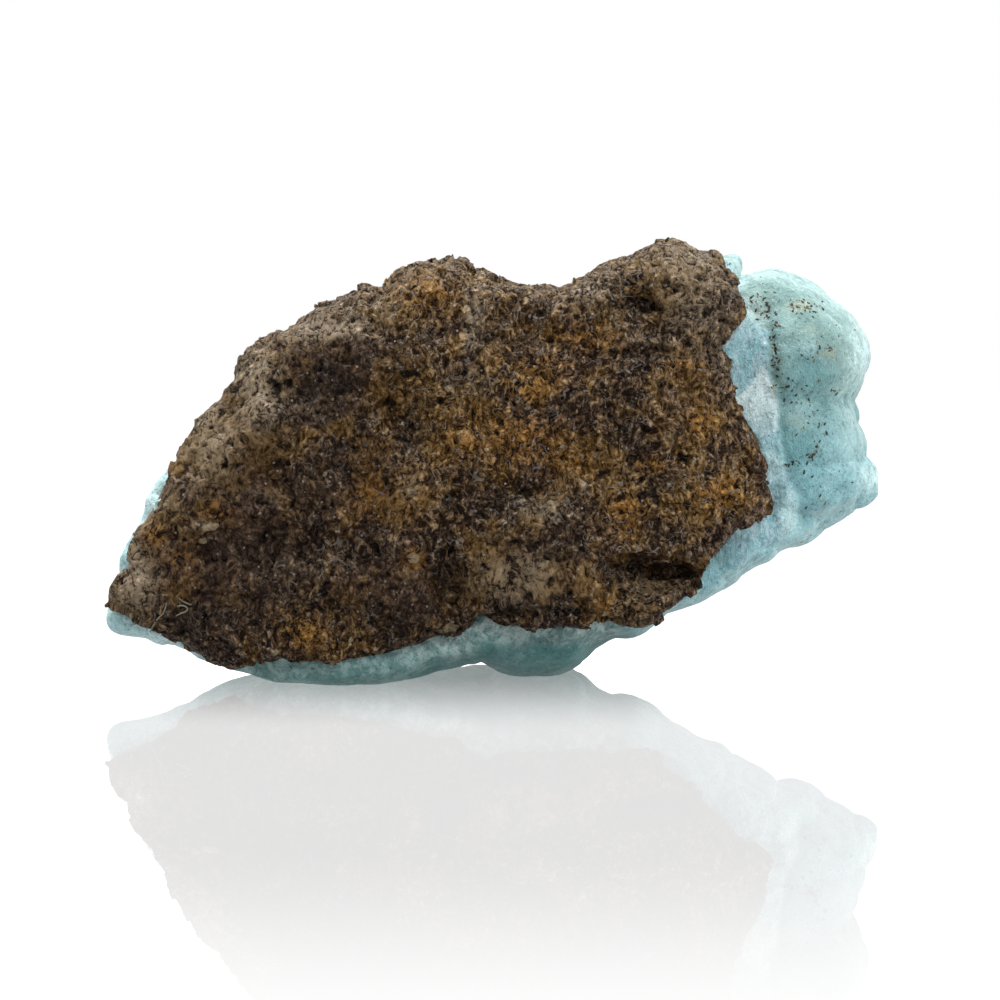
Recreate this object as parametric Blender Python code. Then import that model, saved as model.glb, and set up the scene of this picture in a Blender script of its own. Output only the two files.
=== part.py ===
"""Rough hemimorphite at its real size, in metres, with +Z up.

A block of brown, iron-stained matrix rock carries a crust of blue hemimorphite, which grew over its back,
its foot and its right end. The stone stands on small flats under the crust.

Both solids start square to the line of sight that their outlines were read along: x runs to the right, y runs
away from the eye and z runs up the picture. They are then tipped by SIGHT_TILT, which stands the stone upright
on its flats.
"""

import math

import bmesh
import bpy
import numpy as np
from mathutils import Matrix, Vector, noise

MM = 0.001

# Driving sizes
SIGHT_TILT = math.radians(8)
CONTACT_GAP = 0.3 * MM

# Outlines along the line of sight, clockwise from the left tip, in mm right of and above the middle of the foot
MATRIX_OUTLINE = [
    (-20.9, 4.1), (-20.7, 5.0), (-20.2, 5.6), (-19.8, 7.0), (-18.4, 9.1), (-17.6, 11.0), (-16.9, 12.4),
    (-15.8, 14.0), (-14.8, 14.9), (-13.9, 16.2), (-13.3, 17.9), (-12.5, 18.5), (-10.9, 18.9), (-8.9, 20.5),
    (-7.6, 21.1), (-6.0, 21.1), (-5.4, 21.8), (-3.6, 22.7), (-1.4, 22.9), (-1.0, 22.0), (0.5, 21.8),
    (2.1, 21.2), (3.8, 21.1), (5.1, 21.8), (6.5, 22.7), (8.2, 23.0), (8.9, 23.6), (10.2, 23.7), (11.4, 23.1),
    (12.4, 23.0), (13.4, 21.7), (13.9, 19.5), (13.4, 19.0), (12.5, 17.9), (13.1, 15.8), (13.7, 14.0),
    (15.0, 11.4), (15.2, 9.3), (14.7, 8.4), (13.1, 7.7), (11.7, 6.2), (11.1, 4.7), (9.2, 3.4), (9.2, 2.9),
    (8.1, 2.6), (5.4, 3.0), (3.7, 2.6), (0.7, 2.7), (-0.8, 3.4), (-2.3, 2.4), (-4.2, 1.5), (-7.7, 0.9),
    (-10.4, 0.4), (-11.8, 0.7), (-13.7, 0.2), (-14.6, 0.3), (-16.1, 1.2), (-18.0, 2.3), (-20.3, 3.2),
]
CRUST_OUTLINE = [
    (-21.1, 3.1), (-20.9, 4.1), (-20.3, 5.5), (-19.2, 8.2), (-18.7, 9.3), (-18.0, 10.6), (-17.3, 11.5),
    (-15.6, 12.8), (-12.6, 15.4), (-8.8, 17.5), (-5.0, 19.0), (-0.6, 19.5), (3.7, 19.2), (7.5, 20.5),
    (10.8, 22.0), (12.7, 22.9), (13.3, 22.8), (13.8, 22.2), (14.0, 21.5), (14.6, 21.8), (15.4, 22.1),
    (16.8, 21.8), (17.5, 21.4), (18.2, 20.5), (19.8, 19.2), (20.3, 18.1), (20.5, 17.1), (19.8, 15.2),
    (19.9, 13.7), (20.3, 12.3), (20.3, 11.4), (21.0, 11.1), (21.1, 10.4), (20.7, 9.6), (18.8, 8.4),
    (17.8, 7.6), (16.9, 7.1), (16.1, 7.1), (13.8, 5.5), (11.3, 4.0), (9.3, 3.4), (8.1, 2.4), (6.5, 1.6),
    (4.5, 0.6), (3.3, 0.1), (0.7, 0.2), (-0.5, 0.7), (-3.0, 0.4), (-5.0, -0.2), (-7.0, -0.4), (-9.3, -0.3),
    (-11.2, -0.3), (-13.4, 0.2), (-16.9, 1.4), (-20.6, 2.3),
]
# The point that both outlines run round
CENTRE = (-0.6, 11.0)
# How far along the rim, in radians, the outline and the rim's other values are averaged off the rim itself
INNER_SPREAD = 0.3
RIM_SPREAD = 0.2
# How fast an outline's notches fade away from the rim
NOTCH_FADE = 16

# Around each rim: the angle, anticlockwise from the right, how far away the rim lies, in mm, and how squarely
# the front and the back turn into it (2 is round, 4 is boxy)
MATRIX_RIM = [
    (-162, -4.3, 2.4, 2.4), (-130, -3.8, 3.0, 2.4), (-112, -4.2, 3.2, 2.2), (-85, -5.8, 3.6, 2.0),
    (-55, -6.2, 3.6, 2.0), (-36, -6.4, 3.4, 2.0), (-20, -6.2, 3.0, 2.0), (-6, -3.2, 2.6, 2.2),
    (15, -3.2, 2.8, 2.4), (32, -2.0, 3.0, 2.8), (60, 0.4, 3.2, 3.2), (90, 0.8, 3.2, 3.2), (120, 0.2, 3.0, 3.2),
    (148, -1.8, 2.6, 2.6), (166, -2.8, 2.4, 2.4),
]
CRUST_RIM = [
    (-163, -3.4, 2.4, 2.2), (-130, -2.8, 3.2, 2.3), (-112, -2.9, 3.8, 2.5), (-95, -0.4, 4.0, 2.6),
    (-78, 1.4, 4.0, 2.6), (-55, 0.6, 3.4, 2.4), (-38, -1.0, 2.6, 2.4), (-22, -1.4, 2.0, 2.4), (-3, 4.1, 1.7, 2.4),
    (15, 3.6, 1.8, 2.4), (33, 2.6, 2.0, 2.6), (60, 2.8, 2.4, 2.6), (90, 2.8, 2.4, 2.6), (130, 1.8, 2.4, 2.4),
    (160, -0.6, 2.4, 2.2),
]
MATRIX_FRONT = -7.3
MATRIX_BACK = 4.6
CRUST_FRONT = -5.5
CRUST_BACK = 7.6

# Rises and hollows of the matrix's front: x, z, half-width, half-height and how far each comes forward, in mm
MATRIX_RISES = [
    (2.9, 4.9, 4.1, 2.4, 0.5), (-9.0, 15.8, 3.3, 2.4, 0.7), (11.3, 11.1, 3.3, 3.8, 0.3), (-2.8, 20.9, 2.4, 1.9, 0.7),
    (9.4, 22.1, 2.2, 1.4, 0.8), (-18.0, 4.6, 2.2, 1.4, 0.4), (8.7, 5.4, 3.0, 0.7, -1.8), (8.6, 19.7, 2.1, 1.1, -0.9),
    (-4.2, 12.8, 1.6, 1.2, -0.7), (-2.0, 6.2, 0.9, 2.2, -1.2), (-12.0, 7.1, 4.3, 0.9, -0.6),
    (3.7, 18.7, 3.3, 2.2, -0.7),
]
# Lobes that show at the crust's right end and along its foot: x, z, radius and rise, in mm
CRUST_LOBES = [
    (17.5, 18.0, 3.2, 1.3), (17.8, 12.0, 3.2, 1.1), (15.3, 20.9, 1.6, 0.6), (19.4, 15.9, 1.6, 0.5),
    (15.4, 6.4, 2.6, 0.6), (1.8, 1.3, 3.2, 0.6), (-8.0, 0.6, 4.2, 0.5),
]
# The run of lobes over the back: how far apart they are and how far they rise, in mm
LARGE_LOBES = (5.1, 1.9)
SMALL_LOBES = (2.6, 0.6)
LOBES_SINK = 1.6
# Where the back's lobes start and are at their full height, by how far the surface faces away
BACK_STARTS = -0.15
BACK_FULL = 0.35

# The matrix's broken facets and the lumps on them: how far apart they are and how high, in mm
FACETS = (4.2, 0.9)
LUMPS = (2.6, 0.4)
# The rim is fitted back to its outline in this many sectors
SECTORS = 180

ROCK_SEED = Vector((3.1, 7.7, 1.9))
LOBE_SEED = Vector((11.3, 2.4, 5.8))

MATRIX_TRIANGLES = 4300
CRUST_TRIANGLES = 3000


def clear_scene():
    for item in list(bpy.data.objects):
        bpy.data.objects.remove(item)


def material(name, colour, roughness):
    made = bpy.data.materials.new(name)
    made.use_nodes = True
    shader = made.node_tree.nodes["Principled BSDF"]
    shader.inputs["Base Color"].default_value = (*colour, 1)
    shader.inputs["Roughness"].default_value = roughness
    shader.inputs["Metallic"].default_value = 0
    return made


def outline_radius(outline):
    """A function that gives the outline's distance from the centre at any angle."""
    offsets = np.array(outline) - CENTRE
    angles = np.arctan2(offsets[:, 1], offsets[:, 0])
    order = np.argsort(angles)
    radii = np.hypot(*offsets.T)

    def radius(angle):
        return np.interp(angle, angles[order], radii[order], period=math.tau)

    return radius


def averaged(value_at, angle, spread):
    """A value around the rim, averaged over a span of angles."""
    return np.mean([value_at(angle + turn) for turn in np.linspace(-spread, spread, 9)], axis=0)


def shaped_stone(outline, rim, front, back):
    """A ball drawn out to the outline. Its front and back are caps that meet along the rim."""
    bm = bmesh.new()
    bmesh.ops.create_icosphere(bm, subdivisions=7, radius=1)
    x, y, z = np.array([v.co for v in bm.verts]).T
    angle = np.arctan2(z, x)
    radius_at = outline_radius(outline)
    rim_angles, rim_depths, front_squareness, back_squareness = np.array(rim).T
    rim_angles = np.radians(rim_angles)

    def around_rim(values):
        return averaged(lambda a: np.interp(a, rim_angles, values, period=math.tau), angle, RIM_SPREAD)

    squareness = np.where(y < 0, around_rim(front_squareness), around_rim(back_squareness))
    side, cap = np.hypot(x, z), np.abs(y)
    reach = (side**squareness + cap**squareness) ** (1 / squareness)
    side, cap = side / reach, cap / reach
    at_rim = side**NOTCH_FADE
    radius = side * (radius_at(angle) * at_rim + averaged(radius_at, angle, INNER_SPREAD) * (1 - at_rim))
    depth = around_rim(rim_depths) * (1 - cap) + np.where(y < 0, front, back) * cap
    for vertex, r, a, d in zip(bm.verts, radius, angle, depth):
        vertex.co = Vector((CENTRE[0] + r * math.cos(a), d, CENTRE[1] + r * math.sin(a)))
    bm.normal_update()
    return bm


def raise_front(bm):
    for vertex in bm.verts:
        facing = max(0.0, -vertex.normal.y)
        for x, z, half_width, half_height, rise in MATRIX_RISES:
            away = ((vertex.co.x - x) / half_width) ** 2 + ((vertex.co.z - z) / half_height) ** 2
            vertex.co.y -= rise * math.exp(-away) * facing
    bm.normal_update()


def break_up(bm):
    """Broken rock: blunt facets a few mm across, with lumps on them."""
    moves = []
    for vertex in bm.verts:
        place = vertex.co + ROCK_SEED
        near, second = noise.voronoi(place / FACETS[0])[0][:2]
        lumps = noise.fractal(place / LUMPS[0], 0.8, 2.1, 3)
        moves.append(vertex.normal * ((second - near - 0.4) * FACETS[1] + lumps * LUMPS[1]))
    for vertex, move in zip(bm.verts, moves):
        vertex.co += move
    bm.normal_update()


def dome(away):
    """The height of a round lobe, as a share of its rise, at a distance given as a share of its radius."""
    return math.sqrt(max(0.0, 1 - away * away))


def swell_lobes(bm):
    """Rounded, grape-like lobes: placed ones where they show, and a run of others over the back."""
    moves = []
    for vertex in bm.verts:
        shown = 0.0
        for x, z, radius, rise in CRUST_LOBES:
            shown = max(shown, rise * dome(math.hypot(vertex.co.x - x, vertex.co.z - z) / radius))
        place = vertex.co + LOBE_SEED
        behind = -LOBES_SINK
        for apart, rise in (LARGE_LOBES, SMALL_LOBES):
            behind += rise * dome(noise.voronoi(place / apart)[0][0])
        on_back = min(1.0, max(0.0, (vertex.normal.y - BACK_STARTS) / (BACK_FULL - BACK_STARTS)))
        moves.append(vertex.normal * (behind * on_back + shown * (1 - on_back)))
    for vertex, move in zip(bm.verts, moves):
        vertex.co += move
    bm.normal_update()


def fit_outline(bm, outline):
    """Draws the rim back to the outline that it had before the surface was roughened."""
    x, y, z = np.array([v.co for v in bm.verts]).T
    angle = np.arctan2(z - CENTRE[1], x - CENTRE[0])
    radius = np.hypot(x - CENTRE[0], z - CENTRE[1])
    sector = (angle % math.tau / math.tau * SECTORS).astype(int) % SECTORS
    widest = np.array([radius[sector == s].max() for s in range(SECTORS)])
    middles = (np.arange(SECTORS) + 0.5) / SECTORS * math.tau
    now = np.interp(angle % math.tau, middles, widest, period=math.tau)
    wanted = outline_radius(outline)(angle)
    scale = 1 + (wanted / now - 1) * np.minimum(1, radius / now) ** 4
    for vertex, s in zip(bm.verts, scale):
        vertex.co.x = CENTRE[0] + (vertex.co.x - CENTRE[0]) * s
        vertex.co.z = CENTRE[1] + (vertex.co.z - CENTRE[1]) * s
    bm.normal_update()


def to_object(name, bm, finish):
    """Tips the shape upright and makes it an object, in metres."""
    bmesh.ops.rotate(bm, verts=bm.verts, matrix=Matrix.Rotation(-SIGHT_TILT, 3, "X"))
    bmesh.ops.scale(bm, verts=bm.verts, vec=(MM, MM, MM))
    mesh = bpy.data.meshes.new(name)
    bm.to_mesh(mesh)
    bm.free()
    mesh.materials.append(finish)
    made = bpy.data.objects.new(name, mesh)
    bpy.context.scene.collection.objects.link(made)
    return made


def apply_modifiers(made):
    bpy.context.view_layer.update()
    graph = bpy.context.evaluated_depsgraph_get()
    mesh = bpy.data.meshes.new_from_object(made.evaluated_get(graph))
    made.modifiers.clear()
    made.data = mesh


def thin_out(made, triangles):
    """Leaves fewer triangles, most of them where the surface bends."""
    cut = made.modifiers.new("thin out", "DECIMATE")
    cut.ratio = triangles / len(made.data.polygons)
    apply_modifiers(made)


def cut_foot(made):
    """Cuts the foot level at the ground, which leaves a small flat under each lobe that touches it."""
    bm = bmesh.new()
    bm.from_mesh(made.data)
    cut = bmesh.ops.bisect_plane(
        bm,
        geom=bm.verts[:] + bm.edges[:] + bm.faces[:],
        dist=1e-8,
        plane_co=(0, 0, 0),
        plane_no=(0, 0, -1),
        clear_outer=True,
    )
    rims = [e for e in cut["geom_cut"] if isinstance(e, bmesh.types.BMEdge)]
    bmesh.ops.holes_fill(bm, edges=rims, sides=0)
    bmesh.ops.triangulate(bm, faces=[f for f in bm.faces if len(f.verts) > 3])
    bm.to_mesh(made.data)
    bm.free()


def keep_largest_body(made):
    """Drops the crumbs that a cut leaves."""
    bm = bmesh.new()
    bm.from_mesh(made.data)
    left = set(bm.verts)
    bodies = []
    while left:
        body = set()
        reached = [left.pop()]
        while reached:
            vertex = reached.pop()
            body.add(vertex)
            neighbours = {e.other_vert(vertex) for e in vertex.link_edges} & left
            left -= neighbours
            reached.extend(neighbours)
        bodies.append(body)
    bodies.sort(key=len)
    crumbs = [v for body in bodies[:-1] for v in body]
    bmesh.ops.delete(bm, geom=crumbs, context="VERTS")
    bm.to_mesh(made.data)
    bm.free()


def build_matrix():
    bm = shaped_stone(MATRIX_OUTLINE, MATRIX_RIM, MATRIX_FRONT, MATRIX_BACK)
    raise_front(bm)
    break_up(bm)
    fit_outline(bm, MATRIX_OUTLINE)
    made = to_object("matrix_rock", bm, material("iron stained rock", (0.075, 0.045, 0.025), 0.6))
    thin_out(made, MATRIX_TRIANGLES)
    return made


def build_socket(matrix_rock):
    """The matrix grown by the contact gap: what the crust is cut by."""
    socket = bpy.data.objects.new("socket", matrix_rock.data.copy())
    bpy.context.scene.collection.objects.link(socket)
    swell = socket.modifiers.new("contact gap", "DISPLACE")
    swell.mid_level = 0
    swell.strength = CONTACT_GAP
    socket.hide_render = True
    socket.display_type = "WIRE"
    return socket


def build_crust(socket):
    bm = shaped_stone(CRUST_OUTLINE, CRUST_RIM, CRUST_FRONT, CRUST_BACK)
    swell_lobes(bm)
    fit_outline(bm, CRUST_OUTLINE)
    made = to_object("hemimorphite_crust", bm, material("blue hemimorphite", (0.30, 0.62, 0.66), 0.35))
    thin_out(made, CRUST_TRIANGLES)
    cut_foot(made)
    seat = made.modifiers.new("seat of the matrix", "BOOLEAN")
    seat.operation = "DIFFERENCE"
    seat.object = socket
    apply_modifiers(made)
    keep_largest_body(made)
    return made


def put_origin_under(stones):
    """Moves the meshes so that the origin is under the middle of the whole stone, on the ground."""
    points = np.array([v.co for made in stones for v in made.data.vertices])
    low, high = points.min(0), points.max(0)
    shift = Matrix.Translation((-(low[0] + high[0]) / 2, -(low[1] + high[1]) / 2, -low[2]))
    for made in stones:
        made.data.transform(shift)


def main():
    clear_scene()
    matrix_rock = build_matrix()
    socket = build_socket(matrix_rock)
    crust = build_crust(socket)
    bpy.data.objects.remove(socket)
    put_origin_under([matrix_rock, crust])


main()
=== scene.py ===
"""The looks of a rough hemimorphite: brown, iron-stained matrix rock with a crust of pale blue, grape-like lobes.

It is laid out as an add-on. Each piece is made by its own operator, whose sizes and colours are kept in the scene's
stone settings; the panel lists the operators.
"""

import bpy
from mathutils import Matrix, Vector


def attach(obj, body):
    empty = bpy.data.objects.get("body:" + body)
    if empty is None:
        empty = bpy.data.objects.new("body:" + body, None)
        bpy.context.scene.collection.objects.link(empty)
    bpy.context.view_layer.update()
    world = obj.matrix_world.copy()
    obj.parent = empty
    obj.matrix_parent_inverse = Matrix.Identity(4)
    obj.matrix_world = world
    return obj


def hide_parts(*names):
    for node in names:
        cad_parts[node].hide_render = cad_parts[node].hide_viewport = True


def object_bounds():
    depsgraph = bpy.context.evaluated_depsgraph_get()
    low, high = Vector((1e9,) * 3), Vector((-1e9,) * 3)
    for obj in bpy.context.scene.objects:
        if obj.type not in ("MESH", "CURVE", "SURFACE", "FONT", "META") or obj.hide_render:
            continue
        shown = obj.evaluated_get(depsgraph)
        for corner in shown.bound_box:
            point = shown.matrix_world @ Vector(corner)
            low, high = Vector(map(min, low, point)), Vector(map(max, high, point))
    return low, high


bl_info = {
    "name": "Rough Hemimorphite",
    "version": (1, 0, 0),
    "blender": (4, 5, 0),
    "location": "3D View > Sidebar > Stone",
    "description": "Makes the matrix rock, its blue crust, grains, specks and lint, and a pale studio",
    "category": "Object",
}

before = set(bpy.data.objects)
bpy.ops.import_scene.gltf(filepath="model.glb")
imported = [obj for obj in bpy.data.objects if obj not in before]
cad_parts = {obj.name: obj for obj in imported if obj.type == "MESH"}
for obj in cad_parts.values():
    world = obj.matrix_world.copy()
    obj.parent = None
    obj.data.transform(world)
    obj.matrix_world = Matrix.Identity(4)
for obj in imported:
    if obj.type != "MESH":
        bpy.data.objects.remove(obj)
CAD_LOW, CAD_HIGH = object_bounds()

import math
import random

import bmesh
import bpy
import numpy as np
from bpy.props import FloatProperty, FloatVectorProperty, IntProperty, PointerProperty
from mathutils import Matrix, Vector, noise
from mathutils.bvhtree import BVHTree

MM = 0.001
WELD = 1e-6
# Where the two solids are this close, in mm, each hides the other's surface
SEAT_DISTANCE = 0.36
# How much longer the triangles' edges are at the back
BACK_EDGE = 1.6

# The picture plane faces a camera SIGHT_TILT above the horizon. What shows in the picture is placed by x and
# height on that plane, in mm right of and above the middle of the foot
SIGHT_TILT = math.radians(8)
SIGHT_ZERO_DEPTH = 1.645
PICTURE_CENTRE = (0.46, 9.51)
PICTURE_WIDTH = 54.33
CAMERA_DISTANCE = 1000.0
SENSOR_WIDTH = 36.0
# Small grains are made this many at a time, which is fastest
CHUNK = 100
BALL_VERTICES = 12
# The floor's brightness as the stone's own light; to the camera it is white
BOUNCED = 0.7
# How far, in mm, the rock's grain is bent
BEND = 0.3
# Blender seeds the noise that gives vectors from the clock, so it is seeded here
NOISE_SEED = 1
noise.seed_set(NOISE_SEED)

# Forms of the matrix that stand forward of its CAD solid, or lie behind it: x, height, half-width, half-height
# and how far forward, in mm
ROCK_FORMS = [
    (-8.6, 19.3, 2.4, 1.2, 0.45), (-8.8, 15.6, 1.9, 1.7, -0.35), (-5.0, 14.6, 1.3, 2.2, -0.5),
    (7.6, 6.1, 1.5, 0.5, -1.15), (9.6, 5.55, 1.8, 0.3, -0.8), (9.3, 6.7, 1.9, 0.5, 0.3), (8.2, 3.6, 1.8, 0.7, 0.35),
    (7.8, 20.0, 1.3, 0.5, -0.5),
    (10.9, 20.6, 2.6, 2.6, 0.45), (2.8, 7.0, 4.4, 2.8, 0.35), (-2.4, 4.6, 0.9, 1.7, -0.8), (9.2, 17.4, 3.0, 0.3, -0.35),
    (-12.0, 15.0, 1.3, 2.6, 0.3), (1.2, 15.4, 4.0, 2.2, -0.25), (-7.6, 5.4, 3.4, 1.6, 0.3), (-14.6, 5.6, 2.0, 1.4, 0.25),
    (12.8, 9.8, 1.8, 1.4, 0.3), (2.6, 3.4, 2.6, 0.5, -0.45), (-15.6, 8.1, 0.6, 0.3, 0.25),
]
# Stretches of the outline that swell sideways, away from the stone's middle: x, height, half-width, half-height
# and how far, in mm
ROCK_SWELLS = [
    (-6.4, 1.2, 4.0, 1.2, 0.5), (-1.6, 2.6, 0.9, 0.9, 0.8), (9.4, 23.3, 1.3, 0.8, 0.15), (0.6, 21.6, 1.2, 0.8, -0.3), (-13.2, 18.0, 1.6, 1.0, -0.15),
    (-8.4, 21.0, 1.3, 0.8, -0.2), (-6.8, 21.6, 0.8, 0.6, -0.15), (-3.0, 22.8, 2.4, 0.8, -0.22), (-19.4, 6.6, 1.6, 3.0, -0.12),
    (5.6, 2.6, 1.5, 0.8, 0.45), (2.8, 2.8, 2.6, 0.8, -0.12), (-17.6, 2.8, 2.0, 0.8, 0.15), (-14.2, 0.8, 1.4, 0.7, -0.2), (13.2, 22.4, 0.8, 0.9, -0.3), (15.0, 11.4, 0.8, 2.0, -0.2),
]
CRUST_SWELLS = [
    (12.9, 23.1, 0.5, 0.5, -0.3), (14.2, 22.3, 0.5, 0.5, 0.1), (-17.4, 10.6, 0.9, 1.4, -0.35), (16.8, 22.0, 2.6, 1.0, -0.1), (17.2, 7.2, 2.4, 1.2, -0.1),
    (-20.6, 4.0, 1.0, 1.4, -0.35), (-19.2, 1.9, 1.8, 0.8, -0.4), (20.6, 11.6, 0.5, 0.5, 0.15), (12.0, 4.0, 2.5, 0.9, -0.1), (14.3, 5.6, 1.0, 0.8, -0.3),
    (6.2, 1.6, 1.6, 0.9, -0.45), (-1.0, 0.8, 2.0, 0.6, -0.2),
]
# Where the crust stays outside the rock, though it is thin there
FREE_PATCHES = [(-19.2, 7.6, 2.4, 4.6, 1.0), (-20.4, 3.0, 1.6, 1.6, 1.0)]
# Forms of the crust that stand forward of its CAD solid, or lie behind it
CRUST_FORMS = [
    (14.95, 19.7, 0.35, 1.5, -0.18), (15.3, 17.0, 0.35, 1.3, -0.2), (18.0, 14.9, 1.7, 0.5, -0.22), (17.4, 18.6, 1.5, 1.9, 0.2),
    (18.7, 12.3, 1.4, 1.6, 0.2), (16.0, 8.9, 0.6, 1.2, 0.45), (14.6, 5.6, 2.2, 0.5, 0.2),
]
# Flat facets of the crust's broken band: corners on the picture plane, clockwise
WHITE_FACET = [(14.7, 16.8), (15.35, 15.4), (15.55, 14.1), (15.5, 13.2), (14.9, 13.0), (13.6, 14.4), (13.55, 15.2)]
BLUE_FACET = [(13.1, 17.7), (13.9, 18.1), (14.7, 16.9), (13.8, 15.8), (13.2, 16.5)]
MIDDLE = (-0.6, 11.0)
# Patches of colour on the matrix: x, height, half-width, half-height and strength
RUST_PATCHES = [
    (2.2, 15.9, 1.4, 1.0, 1.0), (1.6, 12.8, 2.2, 1.4, 0.6), (7.2, 9.2, 1.0, 1.3, 0.8), (12.7, 9.9, 1.3, 0.9, 1.0),
    (-3.2, 20.8, 1.4, 1.2, 0.7), (-18.2, 7.7, 0.7, 0.8, 1.0), (-10.2, 2.4, 1.0, 0.8, 1.0), (-4.4, 10.2, 0.9, 1.2, 0.9),
    (-6.6, 9.8, 1.2, 1.0, 0.6), (11.6, 13.8, 1.0, 0.9, 0.7), (8.6, 11.4, 0.9, 0.4, 0.8), (-14.8, 9.0, 0.8, 0.7, 0.7),
    (-4.1, 6.4, 0.5, 0.5, 0.9), (5.2, 18.2, 1.6, 0.8, 0.5), (10.2, 16.8, 1.0, 0.6, 0.5), (-17.0, 6.2, 1.2, 0.6, 0.5),
    (6.4, 3.4, 1.0, 0.9, 0.5), (-12.4, 17.6, 1.0, 0.6, 0.3), (-1.2, 12.6, 1.4, 0.6, 0.5), (3.2, 16.8, 1.2, 0.6, 0.6), (4.6, 11.6, 1.4, 0.6, 0.5),
]
# Dark stains, and painted shade in the recesses, in the cavity below the overhang, below the top block and on the
# undercut lower left
DARK_STAIN_AND_SHADE_PATCHES = [
    (-8.8, 15.8, 1.9, 1.8, 0.9), (-5.0, 16.6, 1.0, 0.8, 0.9), (-4.6, 13.6, 1.0, 1.1, 1.0), (7.8, 20.1, 1.0, 0.5, 0.8),
    (7.4, 6.0, 1.3, 0.5, 0.6), (9.6, 5.5, 1.8, 0.35, 0.5), (-11.4, 5.8, 4.4, 2.6, 0.55), (-8.8, 10.4, 3.0, 1.6, 0.5), (-2.4, 5.4, 0.9, 2.0, 0.8),
    (-17.8, 5.8, 0.9, 0.6, 0.7), (2.4, 3.4, 3.0, 0.6, 0.7), (10.4, 7.8, 0.8, 0.8, 0.7), (3.8, 6.6, 0.9, 0.6, 0.5),
    (8.2, 17.2, 2.0, 0.5, 0.5), (7.4, 14.6, 1.4, 1.2, 0.5), (12.6, 11.2, 0.9, 0.6, 0.4), (1.4, 9.2, 0.9, 1.6, 0.5),
    (-8.0, 12.4, 1.6, 1.0, 0.5), (-15.4, 3.2, 2.6, 1.4, 0.5), (-6.6, 3.0, 3.0, 1.4, 0.35),
]
# Where the rock is purplish, and where it is smooth, without the painted glint lines
UMBER_PATCHES = [
    (-12.0, 6.0, 5.0, 3.4, 1.0), (-9.0, 10.4, 3.2, 1.8, 0.8), (-4.6, 4.4, 3.4, 1.8, 0.9), (-2.4, 8.6, 1.4, 1.8, 0.6),
    (8.6, 18.0, 2.6, 1.4, 0.6), (10.0, 14.2, 1.2, 1.4, 0.6), (0.4, 12.4, 1.4, 1.2, 0.5), (-9.4, 16.2, 2.4, 2.0, 0.6),
    (12.4, 18.8, 0.8, 1.6, 0.8), (9.8, 4.4, 1.8, 1.2, 0.6), (5.6, 8.6, 1.0, 0.8, 0.6), (12.6, 12.0, 1.0, 1.0, 0.5),
]
CALM_PATCHES = [
    (-15.0, 9.0, 5.0, 7.0, 1.0), (-8.6, 16.5, 3.4, 2.8, 0.9), (2.0, 5.6, 3.6, 2.4, 0.8), (-5.0, 4.6, 4.0, 2.0, 0.8),
    (10.8, 21.0, 2.2, 1.8, 0.5), (-8.0, 10.4, 3.0, 3.0, 0.6),
]
GOLD_PATCHES = [
    (-15.4, 12.6, 1.3, 2.8, 1.0), (-19.4, 5.4, 0.9, 1.8, 1.0), (-12.8, 15.6, 1.5, 1.8, 0.9), (-17.6, 8.8, 1.2, 1.6, 0.7),
    (1.6, 15.8, 2.0, 1.2, 0.4), (-3.2, 20.4, 1.4, 1.8, 0.2), (13.0, 9.6, 1.2, 1.0, 0.4), (10.8, 20.8, 1.6, 2.4, 0.5),
    (1.2, 5.6, 2.6, 1.4, 0.7), (7.4, 3.4, 1.4, 0.8, 0.6), (-4.4, 10.2, 1.0, 1.2, 0.6), (12.6, 14.0, 1.2, 1.2, 0.4),
    (7.0, 10.4, 2.0, 1.2, 0.5), (8.0, 21.2, 1.6, 0.6, 0.4), (-10.4, 2.6, 1.0, 0.8, 0.5),
]
# Grey-tan dust, and painted top light on the lit ledge, the left slope and the top block
DUST_AND_LIT_PATCHES = [
    (-8.6, 18.8, 1.9, 0.7, 1.0), (-6.4, 20.2, 1.4, 0.8, 0.1), (-12.6, 15.4, 1.2, 2.2, 0.85), (-14.8, 12.2, 1.0, 1.8, 0.7),
    (10.8, 22.9, 1.8, 0.9, 0.75), (11.2, 20.0, 1.8, 2.0, 0.65), (-0.9, 19.4, 0.6, 1.1, 1.0), (3.0, 9.0, 1.4, 0.6, 0.6),
    (1.6, 5.4, 2.4, 1.1, 0.7), (-19.3, 5.2, 1.2, 1.8, 1.0), (-15.4, 12.8, 1.0, 2.6, 0.6), (-4.3, 10.2, 0.5, 0.8, 0.6), (-15.6, 8.1, 0.7, 0.3, 0.9),
    (5.6, 20.6, 0.9, 0.8, 0.5), (12.6, 18.0, 0.8, 1.6, 0.4), (-2.0, 16.0, 1.0, 0.8, 0.35),
]
# The broken band of the crust beside the matrix: height and x of its outer edge, in mm
BAND_EDGE = [
    (3.0, 8.0), (5.4, 12.4), (6.6, 14.2), (7.7, 15.9), (8.4, 16.4), (9.5, 16.4), (11.0, 16.2), (12.2, 15.6),
    (15.7, 15.5), (16.5, 15.0), (18.5, 14.9), (19.5, 14.2), (21.0, 13.8),
]
# Milky patches, and painted rim light on the lobes' right and top edges
MILKY_AND_RIM_LIGHT_PATCHES = [
    (20.0, 17.6, 0.9, 2.2, 1.0), (20.7, 10.8, 1.0, 1.0, 1.0), (18.4, 20.4, 1.5, 0.8, 0.25), (13.5, 21.8, 0.9, 1.0, 0.7),
    (16.1, 8.7, 0.5, 1.1, 0.8), (17.8, 7.3, 1.6, 0.4, 0.5), (14.0, 19.6, 0.8, 0.9, 0.7), (19.4, 12.6, 1.0, 1.4, 0.35),
    (-18.4, 9.6, 1.0, 3.0, 1.0), (-20.8, 4.6, 1.2, 1.4, 1.0), (-18.2, 2.0, 2.4, 0.9, 0.9), (15.2, 11.4, 0.5, 0.9, 0.6),
    (13.6, 4.6, 2.0, 0.3, 0.5), (17.0, 17.9, 0.6, 0.7, 0.4),
]
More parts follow.
